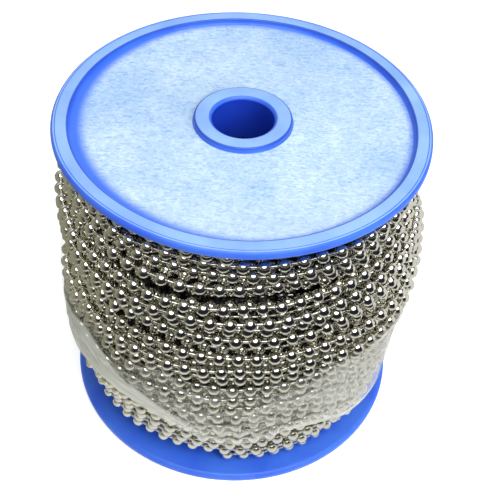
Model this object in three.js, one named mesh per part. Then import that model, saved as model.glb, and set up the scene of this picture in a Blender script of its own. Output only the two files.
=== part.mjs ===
// A roll of ball chain for roller blinds: the chain is wound on a moulded plastic spool and
// held by a band of clear stretch film. Units are millimetres and +Z is up. The spool stands
// on its lower flange, with the origin at the centre of that flange's outer face.

import * as THREE from "three";

// Ball chain
const ballDiameter = 4.5;
const ballPitch = 6.0; // from one ball to the next along the chain
const touchingGapDepth = 2.8; // from the top of the balls down between two turns that touch
const gapDeepening = 0.9; // how much deeper for each millimetre that the turns lie apart
const deepestGap = 5.2;

// Spool
const spoolWidth = 122; // over both flanges
const flangeDiameter = 124.5;
const webThickness = 1.5; // of the flange's disc, between rim and collar
const recessDepth = 1.9; // from the rim down to that disc
const recessFillet = 0.8;
const rimWidth = 5.6; // the raised band round the edge of each flange
const edgeRadius = 1.6;
const collarDiameter = 32.4; // the raised ring round the bore
const collarBevel = 0.5;
const boreDiameter = 20.5;
const boreBevel = 0.5;
const spigotWall = 2.2;
const spigotLength = 14; // how far each flange reaches into the core tube
const coreWall = 3.2;

// Winding: its outline is low at both flanges and swells to a belly between them. On the right of
// the photo the film draws it in.
const radiusAtLowerFlange = 57.5;
const radiusAtUpperFlange = 59.4;
const bellyRadius = 65.2;
const bellyOffset = 5; // height of the widest place above the middle of the spool
const hollowDepth = 1.7;
const hollowHeight = 45; // of its deepest place
const hollowSpread = 20; // distance above and below over which it fades

// Where each turn of the outer layer lies at the front, as measured in the photo: 0 is at the
// lower flange and 1 at the upper one. The turns lie unevenly. Away from the front they wander by
// up to the sum of these waves.
const turnPlaces = [
  0.024, 0.069, 0.12, 0.175, 0.219, 0.259, 0.306, 0.351, 0.401, 0.453, 0.503,
  0.542, 0.603, 0.674, 0.713, 0.745, 0.79, 0.855, 0.897, 0.936, 0.974,
];
const wanderWaves = [
  { size: 1.1, lobes: 2, perTurn: 0.9 },
  { size: 0.8, lobes: 3, perTurn: -1.6 },
  { size: 0.4, lobes: 5, perTurn: 2.3 },
];
const steadyFront = 0.6; // radians to each side of the front in which the wander sets in
const steadyAtFlange = 12; // distance from a flange over which it sets in

// Stretch film: a band that lies a little askew. Angles are seen from above, from -Y towards +X.
const filmThickness = 0.6;
const filmHeight = 28.5; // of its lower edge above the lower flange's outer face
const filmWidth = 33;
const lowerEdgeTilt = 3.5; // how far the edge rises and falls as it goes round
const lowerEdgeHighSide = -75; // degrees to the edge's highest place
const upperEdgeTilt = 3.5;
const upperEdgeHighSide = 110;

// Clearances
const seatGap = 0.3; // between pieces that seat on each other
const filmGap = 0.6; // under the film, so that its flat facets clear the balls

// Fineness of the round shapes
const spoolFacets = 36;
const coreFacets = 24;
const filmFacets = 36;
const filmRings = 3;

const flangeRadius = flangeDiameter / 2;
const rimThickness = webThickness + recessDepth;
const boreRadius = boreDiameter / 2;
const collarRadius = collarDiameter / 2;
const spigotRadius = boreRadius + spigotWall;
const coreInnerRadius = spigotRadius + seatGap;
const coreOuterRadius = coreInnerRadius + coreWall;
const lowerFace = rimThickness; // the lower flange's inner face
const upperFace = spoolWidth - rimThickness;
const bellyHeight = spoolWidth / 2 + bellyOffset;
const turnHeights = turnPlaces.map((place) => THREE.MathUtils.lerp(lowerFace, upperFace, place));

// Revolves a closed half section about Z. Its points are (radius, height).
function revolve(points, facets) {
  const geometry = new THREE.LatheGeometry(points, facets);
  geometry.rotateX(Math.PI / 2);
  return geometry;
}

// One flange, with its outer face at height 0 and its spigot pointing up.
function flangeGeometry() {
  const rimInnerRadius = flangeRadius - rimWidth;
  const quarter = Math.PI / 2;
  const section = new THREE.Path();
  section.moveTo(boreRadius, boreBevel);
  section.lineTo(boreRadius + boreBevel, 0);
  section.lineTo(collarRadius - collarBevel, 0);
  section.lineTo(collarRadius, collarBevel);
  section.lineTo(collarRadius, recessDepth);
  section.lineTo(rimInnerRadius - recessFillet, recessDepth);
  section.absarc(
    rimInnerRadius - recessFillet, recessDepth - recessFillet, recessFillet, quarter, 0, true,
  );
  section.lineTo(rimInnerRadius, 0);
  section.lineTo(flangeRadius - edgeRadius, 0);
  section.absarc(flangeRadius - edgeRadius, edgeRadius, edgeRadius, -quarter, 0, false);
  section.lineTo(flangeRadius, rimThickness - edgeRadius);
  section.absarc(
    flangeRadius - edgeRadius, rimThickness - edgeRadius, edgeRadius, 0, quarter, false,
  );
  section.lineTo(spigotRadius, rimThickness);
  section.lineTo(spigotRadius, rimThickness + spigotLength);
  section.lineTo(boreRadius, rimThickness + spigotLength);
  section.lineTo(boreRadius, boreBevel);
  return revolve(section.getPoints(1), spoolFacets);
}

// The tube that both spigots plug into, and that the chain is wound on.
function coreTubeGeometry() {
  const bottom = lowerFace + seatGap;
  const top = upperFace - seatGap;
  return revolve(
    [
      new THREE.Vector2(coreInnerRadius, bottom),
      new THREE.Vector2(coreOuterRadius, bottom),
      new THREE.Vector2(coreOuterRadius, top),
      new THREE.Vector2(coreInnerRadius, top),
      new THREE.Vector2(coreInnerRadius, bottom),
    ],
    coreFacets,
  );
}

// The winding's radius over the balls at a height, and at an angle from -Y towards +X: a quarter
// sine up to the belly, then half a cosine in to the upper flange, less the hollow on the right.
function windingRadius(height, angle) {
  const hollow = hollowDepth * Math.max(Math.sin(angle), 0)
    * Math.exp(-(((height - hollowHeight) / hollowSpread) ** 2));
  if (height < bellyHeight) {
    const rise = Math.sin((((height - lowerFace) / (bellyHeight - lowerFace)) * Math.PI) / 2);
    return THREE.MathUtils.lerp(radiusAtLowerFlange, bellyRadius, rise) - hollow;
  }
  const share = (upperFace - height) / (upperFace - bellyHeight);
  const rise = (1 - Math.cos(share * Math.PI)) / 2;
  return THREE.MathUtils.lerp(radiusAtUpperFlange, bellyRadius, rise) - hollow;
}

// The height of a turn at an angle from the front.
function turnHeight(turn, angle) {
  const height = turnHeights[turn];
  const aside = Math.atan2(Math.sin(angle), Math.cos(angle));
  const offFront = 1 - Math.exp(-((aside / steadyFront) ** 2));
  const toFlange = Math.min(height - turnHeights[0], turnHeights[turnHeights.length - 1] - height);
  const offFlange = Math.min(toFlange / steadyAtFlange, 1);
  const waves = wanderWaves.map((w) => w.size * Math.sin(w.lobes * aside + w.perTurn * turn));
  return height + offFront * offFlange * waves.reduce((sum, wave) => sum + wave, 0);
}

// The chain as one solid sleeve. Each ball of the outer layer is a six-sided peak, and each
// turn is staggered half a pitch from the one below, so that the cells fit like a honeycomb. The
// further two turns lie apart, the deeper the groove between them.
function windingGeometry() {
  const bottom = lowerFace + seatGap;
  const top = upperFace - seatGap;
  const turns = turnHeights.length;
  const meanRadius = (radiusAtLowerFlange + radiusAtUpperFlange + 2 * bellyRadius) / 4;
  const balls = Math.round((2 * Math.PI * (meanRadius - ballDiameter / 2)) / ballPitch);
  const steps = 2 * balls; // half pitches round the sleeve
  const positions = [];
  const triangles = [];

  const angleOf = (step) => (step / steps) * 2 * Math.PI;
  const addVertex = (step, radius, height) => {
    const angle = angleOf(step);
    positions.push(radius * Math.sin(angle), -radius * Math.cos(angle), height);
    return positions.length / 3 - 1;
  };
  const addSurface = (step, depth, height) => (
    addVertex(step, windingRadius(height, angleOf(step)) - depth, height)
  );
  const at = (ring, step) => ring[(step + steps) % steps];
  const heightAt = (turn, step) => turnHeight(turn, angleOf(step));

  // The groove under turn k zigzags between two turns. The first and last are level, at the ends.
  const grooves = [];
  for (let k = 0; k <= turns; k++) {
    const line = [];
    for (let step = 0; step < steps; step++) {
      if (k === 0 || k === turns) {
        const height = k === 0 ? bottom : top;
        line.push(addSurface(step, touchingGapDepth, height));
        continue;
      }
      const [under, over] = [heightAt(k - 1, step), heightAt(k, step)];
      const shift = ((step + k) % 2 === 0 ? -1 : 1) * (over - under) / 6;
      const apart = Math.max(over - under - ballDiameter, 0);
      const depth = Math.min(touchingGapDepth + gapDeepening * apart, deepestGap);
      const height = (under + over) / 2 + shift;
      line.push(addSurface(step, depth, height));
    }
    grooves.push(line);
  }

  for (let k = 0; k < turns; k++) {
    const below = grooves[k];
    const above = grooves[k + 1];
    for (let step = k % 2; step < steps; step += 2) {
      const height = heightAt(k, step);
      const peak = addSurface(step, 0, height);
      const cell = [
        at(below, step - 1), at(below, step), at(below, step + 1),
        at(above, step + 1), at(above, step), at(above, step - 1),
      ];
      cell.forEach((corner, i) => triangles.push(peak, corner, cell[(i + 1) % cell.length]));
    }
  }

  // The flat ends and the bore that the core tube fills.
  const boreOfSleeve = coreOuterRadius + seatGap;
  const innerLow = [];
  const innerHigh = [];
  for (let i = 0; i < balls; i++) {
    innerLow.push(addVertex(2 * i, boreOfSleeve, bottom));
    innerHigh.push(addVertex(2 * i, boreOfSleeve, top));
  }
  const outerLow = grooves[0];
  const outerHigh = grooves[turns];
  for (let i = 0; i < balls; i++) {
    const next = (i + 1) % balls;
    const [lowA, lowB, highA, highB] = [innerLow[i], innerLow[next], innerHigh[i], innerHigh[next]];
    const edge = [2 * i, 2 * i + 1, 2 * i + 2];
    const low = edge.map((step) => at(outerLow, step));
    const high = edge.map((step) => at(outerHigh, step));
    triangles.push(lowA, low[1], low[0], lowA, lowB, low[1], lowB, low[2], low[1]);
    triangles.push(highA, high[0], high[1], highA, high[1], highB, highB, high[1], high[2]);
    triangles.push(lowA, highA, highB, lowA, highB, lowB);
  }

  const geometry = new THREE.BufferGeometry();
  geometry.setAttribute("position", new THREE.Float32BufferAttribute(positions, 3));
  geometry.setIndex(triangles);
  geometry.computeVertexNormals();
  return geometry;
}

// A film edge's height at an angle round the spool, for a ring that is tilted up towards one side.
function edgeHeight(middle, tilt, highSide, angle) {
  return middle + tilt * Math.cos(angle - THREE.MathUtils.degToRad(highSide));
}

// The band of film, drawn tight over the winding. It starts as a ring of radius 1 and height 1,
// whose vertices are then moved to the film's own edges and out to the winding.
function filmGeometry() {
  const section = [];
  for (let i = 0; i <= filmRings; i++) section.push(new THREE.Vector2(1 + filmThickness, i / filmRings));
  for (let i = filmRings; i >= 0; i--) section.push(new THREE.Vector2(1, i / filmRings));
  section.push(section[0].clone());
  const geometry = revolve(section, filmFacets);
  const position = geometry.getAttribute("position");
  for (let i = 0; i < position.count; i++) {
    const [x, y, share] = [position.getX(i), position.getY(i), position.getZ(i)];
    const direction = Math.atan2(y, x);
    const angle = direction + Math.PI / 2;
    const low = edgeHeight(filmHeight, lowerEdgeTilt, lowerEdgeHighSide, angle);
    const high = edgeHeight(filmHeight + filmWidth, upperEdgeTilt, upperEdgeHighSide, angle);
    const height = THREE.MathUtils.lerp(low, high, share);
    const radius = windingRadius(height, angle) + filmGap + Math.hypot(x, y) - 1;
    position.setXYZ(i, radius * Math.cos(direction), radius * Math.sin(direction), height);
  }
  geometry.computeVertexNormals();
  return geometry;
}

const bluePlastic = new THREE.MeshStandardMaterial({ color: 0x2c62e6, roughness: 0.42, metalness: 0 });
const coreMaterial = new THREE.MeshStandardMaterial({ color: 0x2350c4, roughness: 0.5, metalness: 0 });
const nickelPlate = new THREE.MeshStandardMaterial({ color: 0xc4c1b2, roughness: 0.15, metalness: 1 });
const stretchFilm = new THREE.MeshStandardMaterial({
  color: 0xe8ebe4, roughness: 0.3, metalness: 0, transparent: true, opacity: 0.4,
});

function addMesh(group, name, geometry, material) {
  const mesh = new THREE.Mesh(geometry, material);
  mesh.name = name;
  group.add(mesh);
  return mesh;
}

const roll = new THREE.Group();
addMesh(roll, "lower_flange", flangeGeometry(), bluePlastic);
const upperFlange = addMesh(roll, "upper_flange", flangeGeometry(), bluePlastic);
upperFlange.rotation.x = Math.PI;
upperFlange.position.z = spoolWidth;
addMesh(roll, "core_tube", coreTubeGeometry(), coreMaterial);
addMesh(roll, "ball_chain_winding", windingGeometry(), nickelPlate);
addMesh(roll, "film_wrap", filmGeometry(), stretchFilm);

export default roll;
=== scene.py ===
# %% [markdown]
# # A spool of ball chain for roller blinds
#
# Nickel-plated ball chain is wound on a blue moulded spool, and a band of stretch film goes round
# the lower half of the winding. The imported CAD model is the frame: it fixes every size and place.
# This script adds what the eye needs: each ball and wire of the layers that show, the roundings of
# the mouldings, the film as it lies on the balls, and the finishes.

# %% Load the frame
import math
import random

import bmesh
import bpy
import numpy as np
from mathutils import Matrix, Quaternion, Vector, kdtree, noise


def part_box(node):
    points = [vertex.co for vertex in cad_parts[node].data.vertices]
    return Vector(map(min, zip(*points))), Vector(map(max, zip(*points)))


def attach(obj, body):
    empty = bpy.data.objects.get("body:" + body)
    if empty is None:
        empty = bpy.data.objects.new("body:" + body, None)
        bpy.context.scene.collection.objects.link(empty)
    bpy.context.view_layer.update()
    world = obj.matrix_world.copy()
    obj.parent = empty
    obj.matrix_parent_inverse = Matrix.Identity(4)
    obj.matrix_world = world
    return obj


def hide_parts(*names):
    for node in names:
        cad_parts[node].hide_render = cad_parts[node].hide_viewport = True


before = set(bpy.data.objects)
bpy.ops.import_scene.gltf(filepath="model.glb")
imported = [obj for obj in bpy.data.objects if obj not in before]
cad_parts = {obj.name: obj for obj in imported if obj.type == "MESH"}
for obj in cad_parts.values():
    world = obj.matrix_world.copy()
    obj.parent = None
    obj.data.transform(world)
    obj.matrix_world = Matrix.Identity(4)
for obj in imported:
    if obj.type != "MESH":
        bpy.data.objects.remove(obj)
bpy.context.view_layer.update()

scene = bpy.context.scene
MM = 0.001
print("CAD nodes:", sorted(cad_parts))

# %% [markdown]
# ## Sizes
#
# Blender works in metres here, so every size is a count of millimetres times MM. The spool's outer
# sizes are read from the frame. What the frame doesn't give by itself, such as the recess in a
# flange, is named with the same value as in the CAD source.

# %% Sizes of the spool
upper_low, upper_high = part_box("upper_flange")
spool_width = upper_high.z
flange_radius = upper_high.x
web_thickness = 1.5 * MM
recess_depth = 1.9 * MM
rim_thickness = web_thickness + recess_depth
rim_width = 5.6 * MM
collar_radius = 16.2 * MM
bore_radius = 10.25 * MM
spigot_wall = 2.2 * MM
spigot_length = 14 * MM
lower_face = rim_thickness
upper_face = spool_width - rim_thickness
print(f"spool {spool_width / MM:.1f} mm wide, flanges {2 * flange_radius / MM:.1f} mm across")

# %% [markdown]
# ## Camera
#
# The camera comes early, because each piece is compared with the photograph from its place. It
# looks down on the front of the upper flange from about a third of a metre. Its distance and
# elevation are measured from the middle of the upper rim. The photograph isn't centred on that
# point, so the camera aims a little below it and to its right, and leans over by a few degrees.

# %% Camera
rim_centre = Vector((0, 0, spool_width))
camera_distance = 329.6 * MM
camera_elevation = math.radians(38.35)
camera_lean = math.radians(3.45)
aim_right = 4.3 * MM
aim_below = 43.8 * MM
IMAGE_WIDTH = 500
SENSOR_WIDTH = 36
focal_pixels = 1001

sight = Vector((0, math.cos(camera_elevation), -math.sin(camera_elevation)))
upright = Vector((0, math.sin(camera_elevation), math.cos(camera_elevation)))
camera_place = rim_centre - sight * camera_distance
aim_point = rim_centre + Vector((aim_right, 0, 0)) - upright * aim_below

camera = bpy.data.objects.new("camera", bpy.data.cameras.new("camera"))
scene.collection.objects.link(camera)
camera.data.sensor_width = SENSOR_WIDTH
camera.data.lens = SENSOR_WIDTH * focal_pixels / IMAGE_WIDTH
camera.data.clip_start = 0.01
camera.location = camera_place
camera.rotation_mode = "QUATERNION"
turn_to_aim = (aim_point - camera_place).to_track_quat("-Z", "Y")
camera.rotation_quaternion = turn_to_aim @ Quaternion((0, 0, 1), camera_lean)
scene.camera = camera
print(f"lens {camera.data.lens:.1f} mm, camera at {[round(v, 3) for v in camera_place]}")

# %% [markdown]
# ## Helpers for materials
#
# A colour is written as the hex value that it has on a screen, and one function turns it into the
# linear values that sockets take. A second function adds any node, with its settings and links.

# %% Colour and node helpers
def srgb(code):
    """A hex colour such as #3b76f0, as linear red, green, blue and alpha."""
    channels = [int(code[i : i + 2], 16) / 255 for i in (1, 3, 5)]
    linear = [c / 12.92 if c <= 0.04045 else ((c + 0.055) / 1.055) ** 2.4 for c in channels]
    return (*linear, 1.0)


def add_node(material, kind, values=None, links=None, **settings):
    """Adds a node. settings are its own options, values go to its inputs and links feed them."""
    tree = material.node_tree
    node = tree.nodes.new(kind)
    for option, value in settings.items():
        setattr(node, option, value)
    for socket, value in (values or {}).items():
        node.inputs[socket].default_value = value
    for socket, source in (links or {}).items():
        tree.links.new(source, node.inputs[socket])
    return node


def new_material(name, **values):
    """A material whose shader has these values, with its tree, shader and object coordinates."""
    material = bpy.data.materials.new(name)
    material.use_nodes = True
    shader = material.node_tree.nodes["Principled BSDF"]
    for socket, value in values.items():
        shader.inputs[socket.replace("_", " ")].default_value = value
    place = add_node(material, "ShaderNodeTexCoord").outputs["Object"]
    return material, shader, place


def grains_per_metre(size):
    """The scale of a noise texture whose grains are about this size across."""
    return 1 / size


MIX_FACTOR, MIX_A, MIX_B, MIX_RESULT = 0, 6, 7, 2  # a Mix node's sockets when it mixes colours

# %% [markdown]
# ## Blue polypropylene
#
# The spool is injection-moulded polypropylene, dyed right through. Its rims, edges and bore come
# from polished steel: smooth and satin, with a very slight waviness where the plastic shrank. The
# disc inside each rim comes from steel with an etched grain, so it looks like fine leather. Its
# pale colour is painted sheen, much paler than the smooth plastic beside it. On the left a wide
# band of the disc is deep blue: a painted shadow of the rim, whose circle isn't centred on the
# axis. At the front the disc is paler still, which is painted sheen too. The lands' paler blue is
# painted sheen, and the deeper blue of the bore and of the lips beside the recess is painted shade.

# %% Smooth and grained polypropylene
POLYPROPYLENE_IOR = 1.49
# Painted shadow: the rim's shadow on the disc lies outside a circle that sits right of the axis.
PAINTED_RIM_SHADOW_MIDDLE = (3.4 * MM, 1.02 * MM, 0)  # of the grained circle, which lies right of the axis


def smooth_polypropylene(name, deep, light, roughness):
    """Satin moulded plastic, with faint cloudy changes of tone and shrinkage waves."""
    material, shader, place = new_material(name, Roughness=roughness, IOR=POLYPROPYLENE_IOR)
    clouds = add_node(
        material, "ShaderNodeTexNoise",
        values={"Scale": grains_per_metre(18 * MM), "Detail": 3.0, "Roughness": 0.5},
        links={"Vector": place},
    )
    tone = add_node(
        material, "ShaderNodeMapRange",
        values={"From Min": 0.35, "From Max": 0.65},
        links={"Value": clouds.outputs["Fac"]},
    )
    colour = add_node(
        material, "ShaderNodeMix", data_type="RGBA",
        values={MIX_A: srgb(deep), MIX_B: srgb(light)},
        links={MIX_FACTOR: tone.outputs["Result"]},
    )
    waves = add_node(
        material, "ShaderNodeTexNoise",
        values={"Scale": grains_per_metre(1.4 * MM), "Detail": 2.0},
        links={"Vector": place},
    )
    relief = add_node(
        material, "ShaderNodeBump",
        values={"Strength": 0.12, "Distance": 0.05 * MM},
        links={"Height": waves.outputs["Fac"]},
    )
    links = material.node_tree.links
    links.new(colour.outputs[MIX_RESULT], shader.inputs["Base Color"])
    links.new(relief.outputs["Normal"], shader.inputs["Normal"])
    return material


def grain_with_painted_light(name):
    """Etched leather grain: ridges about 1 mm apart, which is coarse enough to show."""
    material, shader, place = new_material(name, Roughness=0.5, IOR=POLYPROPYLENE_IOR)
    stretch = add_node(
        material, "ShaderNodeMapping", values={"Scale": (0.5, 1.0, 1.0)}, links={"Vector": place}
    )
    grain = add_node(
        material, "ShaderNodeTexNoise",
        values={"Scale": grains_per_metre(0.95 * MM), "Detail": 2.0, "Distortion": 1.2},
        links={"Vector": stretch.outputs["Vector"]},
    )
    patches = add_node(
        material, "ShaderNodeTexNoise",
        values={"Scale": grains_per_metre(22 * MM), "Detail": 2.0},
        links={"Vector": place},
    )
    grain_tone = add_node(
        material, "ShaderNodeMapRange",
        values={"From Min": 0.28, "From Max": 0.62},
        links={"Value": grain.outputs["Fac"]},
    )
    patch_tone = add_node(
        material, "ShaderNodeMapRange",
        values={"From Min": 0.35, "From Max": 0.65},
        links={"Value": patches.outputs["Fac"]},
    )
    # The pale blues of the grain are painted sheen; the plastic itself is the deep blue of the edges.
    grained = add_node(
        material, "ShaderNodeMix", data_type="RGBA",
        values={MIX_A: srgb("#97bde6"), MIX_B: srgb("#d0e4f0")},
        links={MIX_FACTOR: grain_tone.outputs["Result"]},
    )
    patch_tint = add_node(
        material, "ShaderNodeMix", data_type="RGBA",
        values={MIX_A: srgb("#dde9fa"), MIX_B: srgb("#ffffff")},
        links={MIX_FACTOR: patch_tone.outputs["Result"]},
    )
    colour = add_node(
        material, "ShaderNodeMix", data_type="RGBA", blend_type="MULTIPLY",
        values={MIX_FACTOR: 1.0},
        links={MIX_A: grained.outputs[MIX_RESULT], MIX_B: patch_tint.outputs[MIX_RESULT]},
    )
    relief = add_node(
        material, "ShaderNodeBump",
        values={"Strength": 0.7, "Distance": 0.25 * MM},
        links={"Height": grain.outputs["Fac"]},
    )
    # The grain's pale colour stops short of the rim: on the left a wide deep blue band is a painted
    # shadow of the rim, and a fine deep blue border runs all round.
    across = add_node(material, "ShaderNodeSeparateXYZ", links={"Vector": place})
    flat_place = add_node(
        material, "ShaderNodeCombineXYZ", links={"X": across.outputs["X"], "Y": across.outputs["Y"]}
    )
    off_centre = add_node(
        material, "ShaderNodeVectorMath", operation="DISTANCE",
        values={1: PAINTED_RIM_SHADOW_MIDDLE},
        links={0: flat_place.outputs["Vector"]},
    )
    painted_rim_shadow = add_node(
        material, "ShaderNodeMapRange", interpolation_type="SMOOTHSTEP",
        values={"From Min": 53.6 * MM, "From Max": 58.2 * MM},
        links={"Value": off_centre.outputs["Value"]},
    )
    off_axis = add_node(
        material, "ShaderNodeVectorMath", operation="LENGTH", links={0: flat_place.outputs["Vector"]}
    )
    fine_border = add_node(
        material, "ShaderNodeMapRange", interpolation_type="SMOOTHSTEP",
        values={"From Min": 53.4 * MM, "From Max": 56.4 * MM, "To Max": 0.7},
        links={"Value": off_axis.outputs["Value"]},
    )
    smooth_border_and_painted_shadow = add_node(
        material, "ShaderNodeMath", operation="MAXIMUM",
        links={0: painted_rim_shadow.outputs["Result"], 1: fine_border.outputs["Result"]},
    )
    # Painted sheen: the disc turns paler towards the front.
    painted_front_sheen = add_node(
        material, "ShaderNodeMapRange", interpolation_type="SMOOTHSTEP",
        values={"From Min": -30 * MM, "From Max": -52 * MM, "To Max": 0.12},
        links={"Value": across.outputs["Y"]},
    )
    with_painted_front_sheen = add_node(
        material, "ShaderNodeMix", data_type="RGBA", values={MIX_B: srgb("#f4fbfb")},
        links={MIX_FACTOR: painted_front_sheen.outputs["Result"], MIX_A: colour.outputs[MIX_RESULT]},
    )
    with_border_and_painted_shadow = add_node(
        material, "ShaderNodeMix", data_type="RGBA", values={MIX_B: srgb("#3a72f0")},
        links={MIX_FACTOR: smooth_border_and_painted_shadow.outputs["Value"], MIX_A: with_painted_front_sheen.outputs[MIX_RESULT]},
    )
    links = material.node_tree.links
    links.new(with_border_and_painted_shadow.outputs[MIX_RESULT], shader.inputs["Base Color"])
    links.new(relief.outputs["Normal"], shader.inputs["Normal"])
    return material


edge_plastic = smooth_polypropylene("moulded_polypropylene_edge", "#3063e6", "#3f76ec", 0.36)
# Painted sheen: the lands' paler blue.
land_plastic_painted_sheen = smooth_polypropylene("moulded_polypropylene_land_painted_sheen", "#7fa9e8", "#94bcee", 0.36)
# Painted shade: the bore's deeper blue.
bore_plastic_painted_shade = smooth_polypropylene("moulded_polypropylene_bore_painted_shade", "#1838b2", "#1e43c0", 0.4)
# Painted shade: the lips' deeper blue.
lip_plastic_painted_shade = smooth_polypropylene("moulded_polypropylene_lip_painted_shade", "#2450c0", "#2e5cce", 0.4)
# Painted sheen: the disc's pale grain.
disc_plastic_painted_sheen = grain_with_painted_light("etched_polypropylene_disc_painted_sheen")

# %% [markdown]
# ## Nickel plate
#
# The balls are stamped from steel strip, closed round the wires and barrel-plated with nickel. It
# is a bright mirror with a slightly warm tone. Thin patches of dullness come from the balls rubbing
# on each other, and they break the reflections up a little. The turns deep inside get a darker
# plate, which is painted shade: large soft lamps would fill the shade they lie in. The wires are
# drawn, and duller.

# %% Nickel plate
def nickel_plate(name, dark, light, dullest=0.1):
    """A nickel mirror with patches that are rubbed dull, up to this roughness."""
    material, shader, place = new_material(name, Metallic=1.0)
    rubbing = add_node(
        material, "ShaderNodeTexNoise",
        values={"Scale": grains_per_metre(2.5 * MM), "Detail": 3.0},
        links={"Vector": place},
    )
    dullness = add_node(
        material, "ShaderNodeMapRange",
        values={"From Min": 0.3, "From Max": 0.7, "To Min": 0.3 * dullest, "To Max": dullest},
        links={"Value": rubbing.outputs["Fac"]},
    )
    tone = add_node(
        material, "ShaderNodeMix", data_type="RGBA",
        values={MIX_A: srgb(dark), MIX_B: srgb(light)},
        links={MIX_FACTOR: rubbing.outputs["Fac"]},
    )
    links = material.node_tree.links
    links.new(dullness.outputs["Result"], shader.inputs["Roughness"])
    links.new(tone.outputs[MIX_RESULT], shader.inputs["Base Color"])
    return material


top_nickel = nickel_plate("nickel_plated_steel", "#dcdacd", "#eeece2")
painted_shade_nickel = nickel_plate("nickel_plated_steel_painted_shade", "#5e5f63", "#707174")
wire_nickel = nickel_plate("nickel_plated_wire", "#e0ddd0", "#f2f0e8", dullest=0.3)

# %% [markdown]
# ## Stretch film
#
# The film is polyethylene, blown thin and stretched. One turn is nearly clear. Several turns, and
# the creases between them, scatter light and look milky, so the film is a pale glossy plastic that
# lets part of what is behind it through. A slow pattern makes it thinner and thicker. Each band
# also carries an attribute, gathered, which says where the film is bunched up into folds.

# %% Stretch film
def stretch_film(name, thinnest, thickest, right_milk_and_sheen_share):
    """Film that hides what is behind it by these shares, and by more towards the right, partly as
    painted sheen.
    """
    material, shader, place = new_material(name, Base_Color=srgb("#f2f4ec"), Roughness=0.22)
    stretch = add_node(
        material, "ShaderNodeMapping",
        values={"Rotation": (0.0, 0.5, 0.0), "Scale": (1.0, 1.0, 3.5)},
        links={"Vector": place},
    )
    streaks = add_node(
        material, "ShaderNodeTexNoise",
        values={"Scale": grains_per_metre(9 * MM), "Detail": 2.0, "Distortion": 0.4},
        links={"Vector": stretch.outputs["Vector"]},
    )
    milkiness = add_node(
        material, "ShaderNodeMapRange",
        values={"From Min": 0.4, "From Max": 0.7, "To Min": thinnest, "To Max": thickest},
        links={"Value": streaks.outputs["Fac"]},
    )
    across = add_node(material, "ShaderNodeSeparateXYZ", links={"Vector": place})
    # Painted sheen, in part: towards the right the film hides more and so looks whiter.
    right_milk_and_sheen = add_node(
        material, "ShaderNodeMapRange", interpolation_type="SMOOTHSTEP",
        values={"From Min": 20 * MM, "From Max": 64 * MM, "To Max": right_milk_and_sheen_share},
        links={"Value": across.outputs["X"]},
    )
    flat_film = add_node(
        material, "ShaderNodeMath", operation="ADD",
        links={0: milkiness.outputs["Result"], 1: right_milk_and_sheen.outputs["Result"]},
    )
    gathered = add_node(material, "ShaderNodeAttribute", attribute_name="gathered")
    coverage = add_node(
        material, "ShaderNodeMath", operation="ADD", use_clamp=True,
        links={0: flat_film.outputs["Value"], 1: gathered.outputs["Fac"]},
    )
    wrinkles = add_node(
        material, "ShaderNodeTexNoise",
        values={"Scale": grains_per_metre(4.5 * MM), "Detail": 2.0, "Distortion": 0.5},
        links={"Vector": stretch.outputs["Vector"]},
    )
    relief = add_node(
        material, "ShaderNodeBump",
        values={"Strength": 0.22, "Distance": 0.5 * MM},
        links={"Height": wrinkles.outputs["Fac"]},
    )
    links = material.node_tree.links
    links.new(coverage.outputs["Value"], shader.inputs["Alpha"])
    links.new(relief.outputs["Normal"], shader.inputs["Normal"])
    return material


single_film = stretch_film(
    "polyethylene_film_single", thinnest=0.01, thickest=0.08, right_milk_and_sheen_share=0.21
)
layered_film = stretch_film(
    "polyethylene_film_layered", thinnest=0.03, thickest=0.13, right_milk_and_sheen_share=0.0
)

# %% [markdown]
# ## Making a piece
#
# Every piece ends the same way: its mesh gets its materials and smooth shading, with sharp edges
# above an angle. Then it rides on the spool's one body, and may stand for a CAD node.

# %% Piece helper
def make_piece(name, bm, materials, replaces=(), sharp_angle=40):
    """Turns a bmesh into a named piece of the object, in place."""
    mesh = bpy.data.meshes.new(name)
    bm.to_mesh(mesh)
    bm.free()
    for material in materials:
        mesh.materials.append(material)
    mesh.shade_smooth()
    mesh.set_sharp_from_angle(angle=math.radians(sharp_angle))
    piece = bpy.data.objects.new(name, mesh)
    scene.collection.objects.link(piece)
    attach(piece, "root")
    if replaces:
        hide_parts(*replaces)
    mesh.calc_loop_triangles()
    print(f"{name}: {len(mesh.loop_triangles)} triangles")
    return piece


def spin_round(bm, steps):
    """Spins everything in a bmesh once round the Z axis and closes it."""
    bmesh.ops.spin(
        bm, geom=bm.verts[:] + bm.edges[:], cent=(0, 0, 0), axis=(0, 0, 1),
        angle=2 * math.pi, steps=steps, use_merge=True,
    )
    bmesh.ops.remove_doubles(bm, verts=bm.verts, dist=0.001 * MM)
    bmesh.ops.recalc_face_normals(bm, faces=bm.faces)

# %% [markdown]
# ## Flanges
#
# Both flanges are the same moulding, and each is round all over, so a half section spun about the
# axis gives all of it. The section starts as a wire with sharp corners. Rounding the wire's
# corners before the spin is cheaper than bevelling the spun edges, and gives each corner its own
# radius. The lands, the disc, the bore and the lips on both sides of the recess then get their own
# materials by where they lie. The lands' paler blue and the disc's pale grain are painted sheen;
# the deeper blue of the bore and of the lips is painted shade. A fine groove near the edge is where
# two inserts of the mould meet. The full winding presses on the upper flange and has bent it up a
# little on the left of the front and down on the right.

# %% Flanges
FLANGE_STEPS = 224
EDGE, LAND, BORE, DISC, LIP = range(5)  # the order of the flange's materials
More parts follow.
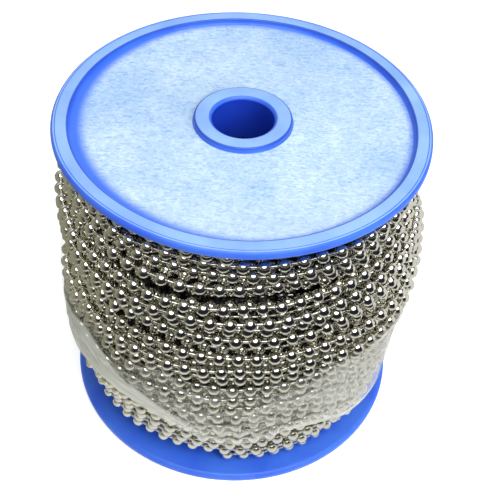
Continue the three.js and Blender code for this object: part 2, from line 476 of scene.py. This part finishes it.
# The lips are the roundings beside the recess and the collar, which take painted shade.
LIP_WIDTH = 0.6 * MM
GROOVE_OUTER, GROOVE_BOTTOM, GROOVE_INNER = 1.2 * MM, 1.4 * MM, 1.55 * MM  # in from the edge
GROOVE_DEPTH = 0.14 * MM
SHARP = 0.02 * MM  # the rounding of a corner that stays sharp
BENDS = [(1.0, -42, 30), (-0.7, 70, 24)]  # share of the lift, direction and spread in degrees


def flange_section():
    """The half section's corners: radius, depth below the outer face, and rounding."""
    rim_inner = flange_radius - rim_width
    spigot_radius = bore_radius + spigot_wall
    foot = rim_thickness + spigot_length
    return [
        (bore_radius, 0, 1.5 * MM),
        (collar_radius, 0, 0.6 * MM),
        (collar_radius + 0.1 * MM, recess_depth, 0.4 * MM),
        (rim_inner - 0.1 * MM, recess_depth, 1.0 * MM),
        (rim_inner, 0, 0.6 * MM),
        (flange_radius - GROOVE_INNER, 0, SHARP),
        (flange_radius - GROOVE_BOTTOM, GROOVE_DEPTH, SHARP),
        (flange_radius - GROOVE_OUTER, 0, SHARP),
        (flange_radius, 0, 1.15 * MM),
        (flange_radius, rim_thickness, 1.6 * MM),
        (spigot_radius, rim_thickness, 0.5 * MM),
        (spigot_radius, foot, 0.4 * MM),
        (bore_radius, foot, 0.4 * MM),
    ]


def flange_material_slot(face, outer_height):
    """Which material a face has, from its distance to the axis and to the outer face."""
    middle = face.calc_center_median()
    radius = math.hypot(middle.x, middle.y)
    depth = abs(outer_height - middle.z)
    if radius < bore_radius + 0.1 * MM:
        return BORE
    rim_inner = flange_radius - rim_width
    on_lip = min(abs(radius - rim_inner), abs(radius - collar_radius)) < LIP_WIDTH
    if on_lip and 0.005 * MM < depth < LIP_WIDTH:
        return LIP
    if depth > recess_depth + 0.3 * MM or abs(face.normal.z) < 0.9:
        return EDGE
    if depth > recess_depth - 0.2 * MM:
        return DISC
    return LAND


def warp(bm, lift, middle, spread):
    """Bends one side of a flange up by lift, most at its edge and in the direction of middle."""
    for vertex in bm.verts:
        radius = math.hypot(vertex.co.x, vertex.co.y)
        angle = math.atan2(vertex.co.x, -vertex.co.y)
        aside = (angle - middle + math.pi) % (2 * math.pi) - math.pi
        share = max(radius - collar_radius, 0) / (flange_radius - collar_radius)
        vertex.co.z += lift * share**1.5 * math.exp(-((aside / spread) ** 2))


def make_flange(name, outer_height, inward, replaces, lift=0.0):
    """A flange whose outer face is at outer_height, with inward +1 or -1 along the axis."""
    bm = bmesh.new()
    corners = flange_section()
    wire = [bm.verts.new((r, 0, outer_height + inward * depth)) for r, depth, _ in corners]
    for i, vertex in enumerate(wire):
        bm.edges.new((vertex, wire[(i + 1) % len(wire)]))
    for vertex, (_, _, rounding) in zip(wire, corners):
        bmesh.ops.bevel(
            bm, geom=[vertex], offset=rounding, affect="VERTICES",
            segments=5, profile=0.5, material=-1,
        )
    spin_round(bm, FLANGE_STEPS)
    bm.normal_update()
    for face in bm.faces:
        face.material_index = flange_material_slot(face, outer_height)
    for share, direction, spread in BENDS:
        warp(bm, share * lift, math.radians(direction), math.radians(spread))
    finishes_and_painted_light = [edge_plastic, land_plastic_painted_sheen, bore_plastic_painted_shade, disc_plastic_painted_sheen, lip_plastic_painted_shade]
    make_piece(name, bm, finishes_and_painted_light, [replaces], sharp_angle=50)


make_flange("moulded_upper_flange", spool_width, -1, "upper_flange", lift=1.3 * MM)
make_flange("moulded_lower_flange", 0, 1, "lower_flange")
# The core tube takes the bore's painted shade.
tube_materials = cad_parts["core_tube"].data.materials
tube_materials.clear()
tube_materials.append(bore_plastic_painted_shade)

# %% [markdown]
# ## Where the balls lie
#
# A winding isn't a neat helix. The chain's turns wander, touch and part again, and each new turn
# sinks as far as the balls beneath allow. So the balls are laid as the winder lays them, one after
# another: each is dropped towards the axis until it touches a ball that is already there. The
# chain is taut, so a ball that could drop into a hole is held up by its neighbours.
#
# Three layers are laid this way. Through their gaps the eye sees no deeper.

# %% Sizes of the chain and the winding
ball_radius = 2.25 * MM
ball_pitch = 6.0 * MM
wire_radius = 0.55 * MM
layer_rise = 3.7 * MM  # how far a layer stands over the one beneath it
radius_at_lower_flange = 57.5 * MM
radius_at_upper_flange = 59.4 * MM
belly_radius = 64.9 * MM
belly_height = spool_width / 2 + 5 * MM
hollow_depth = 2.5 * MM  # on the right, where the film draws the winding in
hollow_height = 48 * MM
hollow_spread = 20 * MM
# Where the turns lie off the axis: how far to the right, at which height and over which spread.
LEANS = [
    (2.6 * MM, 73 * MM, 14 * MM), (-2.5 * MM, 97 * MM, 8 * MM), (1.6 * MM, 106 * MM, 5 * MM),
]
lowest_turn = lower_face + ball_radius
highest_turn = upper_face - ball_radius


def winding_radius(height, angle):
    """How far the balls reach from the axis at a height, and at an angle from -Y towards +X."""
    to_right = math.sin(angle)
    hollow_share = math.exp(-(((height - hollow_height) / hollow_spread) ** 2))
    hollow = hollow_depth * max(to_right, 0) * hollow_share
    lean = sum(size * math.exp(-(((height - at) / spread) ** 2)) for size, at, spread in LEANS)
    inward = hollow - lean * to_right
    if height < belly_height:
        share = max(height - lower_face, 0) / (belly_height - lower_face)
        rise = math.sin(share * math.pi / 2)
        return radius_at_lower_flange + (belly_radius - radius_at_lower_flange) * rise - inward
    share = min((upper_face - height) / (upper_face - belly_height), 1)
    rise = (1 - math.cos(share * math.pi)) / 2
    return radius_at_upper_flange + (belly_radius - radius_at_upper_flange) * rise - inward

# %% [markdown]
# The turns of the top layer are placed as in the CAD source, from what the photograph shows at the
# front: some lie against each other, and two wide gaps show the layer beneath. Away from the
# front, three waves make each turn wander. A turn stays at its own level most of the way round and
# climbs to the next one at the back, as the chain does where the winder has moved on.

# %% The route of each layer
TOP_TURNS = [
    0.024, 0.069, 0.12, 0.175, 0.219, 0.259, 0.306, 0.351, 0.401, 0.453, 0.503,
    0.542, 0.603, 0.674, 0.713, 0.745, 0.79, 0.855, 0.897, 0.936, 0.974,
]
CLIMB_START, CLIMB_END = 0.42, 0.58  # the part of a turn, at the back, in which it climbs
# Each wave's size, how many times it swings in a turn, and how far it shifts from turn to turn.
WAVES = [(1.1 * MM, 2, 0.9), (0.8 * MM, 3, -1.6), (0.4 * MM, 5, 2.3)]
STEADY_FRONT = 0.6  # radians to each side of the front in which the wander sets in
STEADY_AT_FLANGE = 12 * MM  # distance from a flange over which it sets in


def even_turns(count):
    """Places of evenly spaced turns, from 0 at the lower flange to 1 at the upper one."""
    edge = ball_radius / (upper_face - lower_face)
    return list(np.linspace(edge, 1 - edge, count))


def route_height(turn, heights, wander):
    """The chain's height at a place, counted in turns from the front of the first one."""
    whole = math.floor(turn)
    climbed = whole + smooth_step(turn - whole, CLIMB_START, CLIMB_END)
    height = float(np.interp(climbed, range(len(heights)), heights))
    aside = 2 * math.pi * (turn - round(turn))
    off_front = 1 - math.exp(-((aside / STEADY_FRONT) ** 2))
    to_flange = min(height - heights[0], heights[-1] - height)
    off_flange = min(to_flange / STEADY_AT_FLANGE, 1)
    waves = sum(size * math.sin(lobes * aside + shift * climbed) for size, lobes, shift in WAVES)
    height += wander * off_front * off_flange * waves
    return min(max(height, lowest_turn), highest_turn)


def smooth_step(value, start, end):
    """Rises smoothly from 0 at start to 1 at end."""
    share = min(max((value - start) / (end - start), 0), 1)
    return share * share * (3 - 2 * share)

# %% Dropping the balls
BALL = 2 * ball_radius
NEARBY = 1.8 * BALL  # how far off the balls may be that could hold another one up
TAUT_ROUNDS = 8  # of evening out, after which a turn hardly changes
SLACK = 0.25 * MM  # how far a ball may hang below the line between its neighbours
SINK = 1.6 * MM  # how far a ball may lie below its layer's own surface
RIDE = 0.8 * MM  # and how far it may stand above it
STRAY = 0.16 * MM  # how far the balls usually stray up and down from the route
PLAY = 0.04  # the share of the pitch by which two balls may lie closer or further apart


def contact_radius(direction, height, laid, search):
    """How far out a ball at this direction and height comes to rest on the balls laid so far."""
    reach = 0.0
    for place, _, _ in laid.find_range(search, NEARBY):
        along = place.x * direction.x + place.y * direction.y
        gap = height - place.z
        offset = place.x * place.x + place.y * place.y - along * along + gap * gap
        if offset < BALL * BALL:
            reach = max(reach, along + math.sqrt(BALL * BALL - offset))
    return reach


def laid_tree(places):
    """The balls in a tree, from which those near a place are found quickly."""
    tree = kdtree.KDTree(len(places))
    for i, place in enumerate(places):
        tree.insert(place, i)
    tree.balance()
    return tree


def pull_taut(rests):
    """Lifts the balls of a turn that hang further below their neighbours than a taut chain lets."""
    radii = rests
    for _ in range(TAUT_ROUNDS):
        between = (np.roll(radii, 1) + np.roll(radii, -1)) / 2
        between[0], between[-1] = radii[0], radii[-1]
        radii = np.maximum(rests, between - SLACK)
    return radii


def lay_layer(beneath, depth, turns_at, wander, seed, start):
    """Lays one layer of chain over the balls beneath and returns its balls in order."""
    heights = [lower_face + place * (upper_face - lower_face) for place in turns_at]
    places = []
    shake = random.Random(seed)
    turn = start
    while turn < len(heights) - 1:
        laid = laid_tree(beneath + places)
        directions, levels, rests = [], [], []
        stop = min(turn + 0.5, len(heights) - 1)
        while turn < stop:
            angle = 2 * math.pi * turn
            direction = Vector((math.sin(angle), -math.cos(angle), 0))
            height = route_height(turn, heights, wander) + shake.gauss(0, STRAY)
            surface = winding_radius(height, angle) - ball_radius - depth
            search = direction * surface + Vector((0, 0, height))
            rest = contact_radius(direction, height, laid, search)
            rests.append(min(max(rest, surface - SINK), surface + RIDE))
            directions.append(direction)
            levels.append(height)
            turn += ball_pitch * shake.uniform(1 - PLAY, 1 + PLAY) / (2 * math.pi * surface)
        radii = pull_taut(np.array(rests))
        places += [d * r + Vector((0, 0, h)) for d, r, h in zip(directions, radii, levels)]
    return places


third_layer = lay_layer([], 2 * layer_rise, even_turns(23), wander=0.8, seed=3, start=0.0)
second_layer = lay_layer(
    third_layer, layer_rise, even_turns(24), wander=-0.8, seed=7, start=0.3
)
top_layer = lay_layer(
    second_layer + third_layer, 0.0, TOP_TURNS, wander=1.0, seed=11, start=0.0
)
for title, layer in (("third", third_layer), ("second", second_layer), ("top", top_layer)):
    reach = [p.xy.length + ball_radius for p in layer]
    print(f"{title} layer: {len(layer)} balls, {min(reach) / MM:.1f} to {max(reach) / MM:.1f} mm out")

# %% [markdown]
# ## Balls and wires
#
# A ball and the wire that joins it to the next one repeat thousands of times, so each has only a
# few dozen faces, and smooth shading hides them. A ball's poles lie on the chain's own line, where
# the wires cover them, and it is 3% larger than life, because flat facets make it look smaller.
# Each layer is one piece, which keeps every piece under the size limit.

# %% Stamping the chain
stamped_radius = 1.03 * ball_radius


def small_mesh(name, build):
    """A mesh made by one bmesh operator, to be stamped many times."""
    bm = bmesh.new()
    build(bm)
    mesh = bpy.data.meshes.new(name)
    bm.to_mesh(mesh)
    bm.free()
    return mesh


def stamp(bm, shape, matrix):
    """Adds a moved copy of a small mesh to a bmesh."""
    copy = shape.copy()
    copy.transform(matrix)
    bm.from_mesh(copy)
    bpy.data.meshes.remove(copy)


ball_shape = small_mesh(
    "ball",
    lambda bm: bmesh.ops.create_uvsphere(bm, u_segments=10, v_segments=6, radius=stamped_radius),
)
wire_shape = small_mesh(
    "wire",
    lambda bm: bmesh.ops.create_cone(
        bm, segments=6, radius1=wire_radius, radius2=wire_radius, depth=1.0, cap_ends=False
    ),
)


def make_chain(name, places, nickel, replaces=()):
    """One layer of chain through these places, with a wire from each ball to the next."""
    bm = bmesh.new()
    for i, place in enumerate(places):
        onward = places[min(i + 1, len(places) - 1)] - places[max(i - 1, 0)]
        turned = onward.to_track_quat("Z", "Y").to_matrix().to_4x4()
        stamp(bm, ball_shape, Matrix.Translation(place) @ turned)
    ball_faces = len(bm.faces)
    for a, b in zip(places, places[1:]):
        turned = (b - a).to_track_quat("Z", "Y").to_matrix().to_4x4()
        stretched = Matrix.Diagonal((1, 1, (b - a).length, 1))
        stamp(bm, wire_shape, Matrix.Translation((a + b) / 2) @ turned @ stretched)
    for i, face in enumerate(bm.faces):
        face.material_index = int(i >= ball_faces)
    make_piece(name, bm, [nickel, wire_nickel], replaces, sharp_angle=80)


make_chain("chain_top_layer", top_layer, top_nickel, ["ball_chain_winding"])
make_chain("chain_second_layer", second_layer, top_nickel)
# The third layer takes the darker nickel: painted shade.
make_chain("chain_third_layer", third_layer, painted_shade_nickel)

# %% [markdown]
# Under these layers lie many more turns, which no gap shows clearly. One bumpy sleeve stands for
# them. It is a section spun round the core, and its skin is pushed in and out by the size of a
# ball, so that what the eye catches between the balls is still chain.

# %% The turns further in
SLEEVE_STEPS = 256
SLEEVE_RINGS = 72
SLEEVE_GAP = 0.3 * MM  # to the core tube and to the flanges
ROW_HEIGHT = 0.95 * BALL
BUMP_HEIGHT = 1.4 * MM
BUMP_WAVES = 28  # whole waves in a row, with two bumps to each
sleeve_depth = 2 * layer_rise + BALL * 0.5


def make_inner_turns():
    """The sleeve under the third layer, with staggered rows of bumps in its skin."""
    bm = bmesh.new()
    core_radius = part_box("core_tube")[1].x + SLEEVE_GAP
    low, high = lower_face + SLEEVE_GAP, upper_face - SLEEVE_GAP
    levels = np.linspace(low, high, SLEEVE_RINGS)
    skin = [(belly_radius, z) for z in levels]
    wire = [bm.verts.new((r, 0, z)) for r, z in [(core_radius, low), *skin, (core_radius, high)]]
    for i, vertex in enumerate(wire):
        bm.edges.new((vertex, wire[(i + 1) % len(wire)]))
    spin_round(bm, SLEEVE_STEPS)
    for vertex in bm.verts:
        radius = math.hypot(vertex.co.x, vertex.co.y)
        if radius > core_radius + 2 * MM:
            angle = math.atan2(vertex.co.x, -vertex.co.y)
            row = vertex.co.z / ROW_HEIGHT
            stagger = math.pi / 2 * (math.floor(row) % 2)
            bump = abs(math.sin(angle * BUMP_WAVES + stagger)) * abs(math.sin(row * math.pi))
            skin_radius = winding_radius(vertex.co.z, angle) - sleeve_depth
            vertex.co.xy *= (skin_radius + (bump - 0.5) * BUMP_HEIGHT) / radius
    # The sleeve takes the darker nickel, which is painted shade.
    make_piece("chain_inner_turns", bm, [painted_shade_nickel])


make_inner_turns()

# %% [markdown]
# ## The film
#
# Stretched film behaves like a soap skin laid over the balls: it touches their tops and runs
# nearly straight between them. So the band starts as a plain cylinder grid, spun from one upright
# line. Each point is first put on the outermost ball surface behind it, and then the whole skin is
# relaxed: again and again, each point moves to the mean of its neighbours unless a ball holds it
# out. The band's edges wander, so heights on the grid are shares between the lower and upper edge.
# On the left the film is gathered into one thick fold, which runs on along its lower edge. There
# the film hides more; the band's shape has no fold.

# %% Film edges
# Each pair is an angle in degrees, from the front towards the right, and a height in millimetres.
# The fold's pairs have its width in place of a height.
LOW_EDGE = [
    (-180, 30), (-110, 32), (-75, 32), (-65, 36), (-53, 39), (-41, 38.7), (-30, 37), (-19, 33),
    (-8, 27), (4, 24), (18, 29), (30, 27), (45, 19), (70, 16), (130, 20), (180, 30),
]
TOP_EDGE = [
    (-180, 64), (-90, 70), (-63, 71), (-52, 65), (-44, 56), (-34, 58), (-23, 67), (-17.5, 66),
    (-16, 58.5), (5, 58.5), (13, 61.5), (35, 63.5), (44, 65.5), (52, 66), (60, 64), (75, 60),
    (100, 58), (130, 60), (180, 64),
]
INNER_TOP_EDGE = [
    (-180, 45), (-110, 56), (-45, 50), (-30, 53), (-19, 49), (-13, 44), (5, 42.7), (9, 45.5),
    (13, 50.5), (22, 55), (60, 61), (180, 45),
]
FOLD_WIDTH = [
    (-180, 6), (-110, 14), (-65, 17), (-52, 18), (-43, 14), (-36, 10), (-24, 6), (-8, 2.6), (4, 1),
    (60, 1), (180, 6),
]
EDGE_CIRCLE = 9  # the noise for an edge is read round a circle of this radius, so that it closes
FOLD_AT_FRONT = 0.1  # how much of what is behind it the fold hides at the front
FOLD_MORE_ASIDE = 0.28  # and how much more of it at the sides
FOLD_END = 1.5 * MM  # over which the fold thins out


def along_edge(angle, stations):
    """The height or width at an angle, from these stations with their corners smoothed."""
    degrees, heights = zip(*stations)
    nearby = [math.degrees(angle) + step for step in (-2, -1, 0, 1, 2)]
    return float(np.mean(np.interp(nearby, degrees, heights))) * MM


def edge_wave(angle, seed, size):
    """A small wander of an edge round the spool."""
    x, y = EDGE_CIRCLE * math.cos(angle), EDGE_CIRCLE * math.sin(angle)
    return size * noise.noise(Vector((x, y, seed)))


def film_low_edge(angle):
    return along_edge(angle, LOW_EDGE) + edge_wave(angle, 5.0, 0.5 * MM)


def film_top_edge(angle):
    return along_edge(angle, TOP_EDGE) + edge_wave(angle, 2.0, 0.7 * MM)


def inner_low_edge(angle):
    return film_low_edge(angle) + 0.8 * MM + edge_wave(angle, 14.0, 0.6 * MM)


def inner_top_edge(angle):
    return along_edge(angle, INNER_TOP_EDGE) + edge_wave(angle, 8.0, 1.2 * MM)


def fold(angle, height):
    """How far the film is bunched up here: the whole width on the left, then its low edge."""
    above = height - film_low_edge(angle)
    width = along_edge(angle, FOLD_WIDTH)
    thickness = FOLD_AT_FRONT + FOLD_MORE_ASIDE * smooth_step(abs(angle), 0.1, 0.6)
    return thickness * (1 - smooth_step(above, width, width + FOLD_END))

# %% Film pieces
FILM_STEPS = 420
RELAXING_ROUNDS = 160
CREASES_ROUND, CREASES_ACROSS = 2.6, 11  # the scale of the creases along and across the band
CREASE_HEIGHT = 0.25 * MM
CREASE_MILK = 0.1  # how much more a crease hides than flat film does
film_thickness = 0.1 * MM  # several wraps of film that is 0.02 mm thick


def ball_envelope(direction, heights, places, clearance):
    """The radius at which the balls' surfaces hold the film out, at each height."""
    reach = ball_radius + clearance
    along = places[:, 0] * direction[0] + places[:, 1] * direction[1]
    across = places[:, 0] * direction[1] - places[:, 1] * direction[0]
    near = (along > 0) & (np.abs(across) < reach)
    gap = heights[:, None] - places[None, near, 2]
    inside = reach**2 - across[near][None, :] ** 2 - gap**2
    held = np.where(inside > 0, along[near][None, :] + np.sqrt(np.maximum(inside, 0)), 0)
    return held.max(axis=1)


def crease(angle, share, seed):
    """Creases that run along the band, as outward ridges from 0 to 1."""
    level = share * CREASES_ACROSS + 0.6 * math.sin(angle)
    ridge = noise.noise(Vector((angle * CREASES_ROUND, level, seed)))
    return min(max(ridge - 0.1, 0) / 0.35, 1)


def film_band(name, low_edge, high_edge, clearance, rings, material, seed, replaces=()):
    """A band of film round the whole winding, relaxed over the balls."""
    angles = np.linspace(-math.pi, math.pi, FILM_STEPS, endpoint=False)
    shares = np.linspace(0, 1, rings)
    balls = np.array([tuple(p) for p in top_layer])
    lows = np.array([low_edge(a) for a in angles])
    highs = np.array([high_edge(a) for a in angles])
    heights = lows[:, None] + (highs - lows)[:, None] * shares[None, :]
    held = np.empty_like(heights)
    for i, angle in enumerate(angles):
        direction = (math.sin(angle), -math.cos(angle))
        held[i] = ball_envelope(direction, heights[i], balls, clearance)
    skin = held.copy()
    for _ in range(RELAXING_ROUNDS):
        around = np.roll(skin, 1, axis=0) + np.roll(skin, -1, axis=0)
        padded = np.pad(skin, ((0, 0), (1, 1)), mode="edge")
        skin = np.maximum(held, (around + padded[:, :-2] + padded[:, 2:]) / 4)
    bm = bmesh.new()
    gathered = bm.verts.layers.float.new("gathered")
    line = [bm.verts.new((1, 0, share)) for share in shares]
    for a, b in zip(line, line[1:]):
        bm.edges.new((a, b))
    spin_round(bm, FILM_STEPS)
    for vertex in bm.verts:
        angle = math.atan2(vertex.co.x, -vertex.co.y)
        i = round((angle + math.pi) / (2 * math.pi) * FILM_STEPS) % FILM_STEPS
        j = round(vertex.co.z * (rings - 1))
        height = heights[i, j]
        ridge = crease(angles[i], shares[j], seed)
        radius = skin[i, j] + CREASE_HEIGHT * ridge
        vertex.co = (radius * math.sin(angles[i]), -radius * math.cos(angles[i]), height)
        vertex[gathered] = fold(angles[i], height) + CREASE_MILK * ridge
    bmesh.ops.recalc_face_normals(bm, faces=bm.faces)
    piece = make_piece(name, bm, [material], replaces, sharp_angle=80)
    wall = piece.modifiers.new("wall", "SOLIDIFY")
    wall.thickness = film_thickness
    wall.offset = 1


film_band(
    "film_last_turn", film_low_edge, film_top_edge, clearance=0.35 * MM, rings=40,
    material=single_film, seed=1.0, replaces=["film_wrap"],
)
film_band(
    "film_first_turns", inner_low_edge, inner_top_edge, clearance=0.12 * MM, rings=24,
    material=layered_film, seed=4.0,
)

# %% [markdown]
# ## Floor
#
# The floor is a sweep of white paper. It glows a little to the camera and in reflections, so it
# looks white with no more light on the spool, and it still keeps the spool's shadow.

# %% Floor
FLOOR_REACH = 30  # metres from its middle to each side
PAPER_GLOW = 0.55


def stage_mesh(name, bm, material):
    """Turns a bmesh into an object that isn't part of the spool."""
    mesh = bpy.data.meshes.new(name)
    bm.to_mesh(mesh)
    bm.free()
    mesh.materials.append(material)
    thing = bpy.data.objects.new(name, mesh)
    scene.collection.objects.link(thing)
    return thing


def white_paper():
    """Matt white paper that glows to camera, glossy and transmission rays."""
    material, shader, _ = new_material(
        "white_paper_sweep", Base_Color=(0.86, 0.86, 0.85, 1), Roughness=0.9,
        Specular_IOR_Level=0.0, Emission_Color=(1, 1, 1, 1),
    )
    rays = add_node(material, "ShaderNodeLightPath")
    camera_or_glossy = add_node(
        material, "ShaderNodeMath", operation="ADD",
        links={0: rays.outputs["Is Camera Ray"], 1: rays.outputs["Is Glossy Ray"]},
    )
    seen = add_node(
        material, "ShaderNodeMath", operation="ADD", use_clamp=True,
        links={0: camera_or_glossy.outputs["Value"], 1: rays.outputs["Is Transmission Ray"]},
    )
    strength = add_node(
        material, "ShaderNodeMath", operation="MULTIPLY", values={1: PAPER_GLOW},
        links={0: seen.outputs["Value"]},
    )
    material.node_tree.links.new(strength.outputs["Value"], shader.inputs["Emission Strength"])
    return material


def make_floor():
    bm = bmesh.new()
    bmesh.ops.create_grid(bm, x_segments=1, y_segments=1, size=FLOOR_REACH)
    floor = stage_mesh("floor", bm, white_paper())


make_floor()

# %% [markdown]
# ## Card ring
#
# Polished things show whatever stands round them, so photographers stand cards there. In the
# photograph each ball mirrors white paper only close to the spool, and beyond it something olive,
# then dark. On the left it mirrors beige all the way up, and on the right a white sheet. A ring of
# card, with a flat foot on the floor, gives the balls that. It is seen only in reflections, so no
# view has it in the way.

# %% Card ring
CARD_RADIUS = 102 * MM
CARD_HEIGHT = 112 * MM
CARD_STEPS = 64
CARD_LIFT = 1 * MM  # off the floor
FOOT_RADIUS = 64 * MM  # where the foot begins, just past the spool's edge


def dull_card():
    """Card that shines by itself: pale at its foot, then dark, with beige and white sides."""
    material, shader, place = new_material(
        "dull_card", Base_Color=(0, 0, 0, 1), Roughness=1.0,
        Specular_IOR_Level=0.0, Emission_Strength=1.0,
    )
    across = add_node(material, "ShaderNodeSeparateXYZ", links={"Vector": place})
    upward = add_node(
        material, "ShaderNodeMapRange", interpolation_type="SMOOTHSTEP",
        values={"From Min": 4 * MM, "From Max": 64 * MM},
        links={"Value": across.outputs["Z"]},
    )
    olive = add_node(
        material, "ShaderNodeMix", data_type="RGBA",
        values={MIX_A: (0.82, 0.82, 0.73, 1), MIX_B: (0.02, 0.022, 0.032, 1)},
        links={MIX_FACTOR: upward.outputs["Result"]},
    )
    leftward = add_node(
        material, "ShaderNodeMapRange", interpolation_type="SMOOTHSTEP",
        values={"From Min": -45 * MM, "From Max": -98 * MM},
        links={"Value": across.outputs["X"]},
    )
    beige = add_node(
        material, "ShaderNodeMix", data_type="RGBA", values={MIX_B: (0.3, 0.3, 0.23, 1)},
        links={MIX_FACTOR: leftward.outputs["Result"], MIX_A: olive.outputs[MIX_RESULT]},
    )
    rightward = add_node(
        material, "ShaderNodeMapRange",
        values={"From Min": 84 * MM, "From Max": 89 * MM},
        links={"Value": across.outputs["X"]},
    )
    tone = add_node(
        material, "ShaderNodeMix", data_type="RGBA", values={MIX_B: (0.8, 0.8, 0.78, 1)},
        links={MIX_FACTOR: rightward.outputs["Result"], MIX_A: beige.outputs[MIX_RESULT]},
    )
    material.node_tree.links.new(tone.outputs[MIX_RESULT], shader.inputs["Emission Color"])
    return material


def make_card_ring():
    bm = bmesh.new()
    bmesh.ops.create_cone(
        bm, segments=CARD_STEPS, radius1=CARD_RADIUS, radius2=CARD_RADIUS, depth=CARD_HEIGHT,
        cap_ends=False,
    )
    bmesh.ops.translate(bm, verts=bm.verts, vec=(0, 0, CARD_HEIGHT / 2 + CARD_LIFT))
    foot = [bm.verts.new((r, 0, CARD_LIFT)) for r in (FOOT_RADIUS, CARD_RADIUS)]
    bmesh.ops.spin(
        bm, geom=[*foot, bm.edges.new(foot)], cent=(0, 0, 0), axis=(0, 0, 1),
        angle=2 * math.pi, steps=CARD_STEPS, use_merge=True,
    )
    card = stage_mesh("card_ring", bm, dull_card())
    card.visible_camera = False
    card.visible_diffuse = False
    card.visible_transmission = False
    card.visible_shadow = False


make_card_ring()

# %% [markdown]
# ## World
#
# The world stands for the room. The camera sees it as white, like the paper. The balls mirror the
# room itself: dark overhead, warmer and lighter near the floor, beige on the left and bright at
# the back. They look like metal only when they have something dark to mirror.

# %% World
OVERHEAD = (0.045, 0.047, 0.06, 1)
NEAR_FLOOR = (0.16, 0.16, 0.13, 1)
LEFT_SIDE = (0.26, 0.25, 0.19, 1)
BACK_SIDE = (0.75, 0.77, 0.8, 1)


def make_world():
    """A room with its own tone in each direction, and white to the camera."""
    world = bpy.data.worlds.new("studio")
    world.use_nodes = True
    scene.world = world
    background = world.node_tree.nodes["Background"]
    direction = add_node(world, "ShaderNodeTexCoord").outputs["Generated"]
    parts = add_node(world, "ShaderNodeSeparateXYZ", links={"Vector": direction})
    downward = add_node(
        world, "ShaderNodeMapRange", interpolation_type="SMOOTHSTEP",
        values={"From Min": 0.0, "From Max": 0.5, "To Min": 1.0, "To Max": 0.0},
        links={"Value": parts.outputs["Z"]},
    )
    leftward = add_node(
        world, "ShaderNodeMapRange", interpolation_type="SMOOTHSTEP",
        values={"From Min": -0.3, "From Max": -0.9},
        links={"Value": parts.outputs["X"]},
    )
    backward = add_node(
        world, "ShaderNodeMapRange", interpolation_type="SMOOTHSTEP",
        values={"From Min": 0.1, "From Max": 0.8},
        links={"Value": parts.outputs["Y"]},
    )
    upright_tone = add_node(
        world, "ShaderNodeMix", data_type="RGBA", values={MIX_A: OVERHEAD, MIX_B: NEAR_FLOOR},
        links={MIX_FACTOR: downward.outputs["Result"]},
    )
    with_left = add_node(
        world, "ShaderNodeMix", data_type="RGBA", values={MIX_B: LEFT_SIDE},
        links={MIX_FACTOR: leftward.outputs["Result"], MIX_A: upright_tone.outputs[MIX_RESULT]},
    )
    room = add_node(
        world, "ShaderNodeMix", data_type="RGBA", values={MIX_B: BACK_SIDE},
        links={MIX_FACTOR: backward.outputs["Result"], MIX_A: with_left.outputs[MIX_RESULT]},
    )
    rays = add_node(world, "ShaderNodeLightPath")
    shown = add_node(
        world, "ShaderNodeMix", data_type="RGBA", values={MIX_B: (1, 1, 1, 1)},
        links={MIX_FACTOR: rays.outputs["Is Camera Ray"], MIX_A: room.outputs[MIX_RESULT]},
    )
    world.node_tree.links.new(shown.outputs[MIX_RESULT], background.inputs["Color"])
    background.inputs["Strength"].default_value = 1.0


make_world()

# %% [markdown]
# ## Lamps
#
# A large soft lamp hangs above the spool and a little in front. It gives each ball its one bright
# spot. A second lamp, just below it, is seen only in reflections: it makes that spot white with no
# more light on the plastic. The lamp at the front and right lights the disc and the film, and the
# balls don't mirror it, because in the photograph each of them has a single spot.

# %% Lamps
lamp_aim = Vector((0, 0, spool_width / 2))


def soft_lamp(name, place, size, power, mirrored=True, lights=True):
    """A round soft lamp that faces the spool. Polished things mirror it, or it lights, or both."""
    light = bpy.data.lights.new(name, "AREA")
    light.shape = "DISK"
    light.size = size
    light.energy = power
    lamp = bpy.data.objects.new(name, light)
    scene.collection.objects.link(lamp)
    lamp.location = place
    lamp.rotation_mode = "QUATERNION"
    lamp.rotation_quaternion = (lamp_aim - lamp.location).to_track_quat("-Z", "Y")
    lamp.visible_glossy = mirrored
    lamp.visible_diffuse = lights


soft_lamp("overhead_softbox", (0.03, -0.3, 0.82), size=1.0, power=5.8)
soft_lamp("overhead_glint", (0.03, -0.3, 0.8), size=0.8, power=3.2, lights=False)
soft_lamp("front_right_fill", (0.72, -0.68, 0.76), size=0.8, power=10.0, mirrored=False)

# %% [markdown]
#
# The balls, the bent flange and the film may reach a little past the CAD model's box. Both boxes

scene.view_settings.view_transform = "Standard"
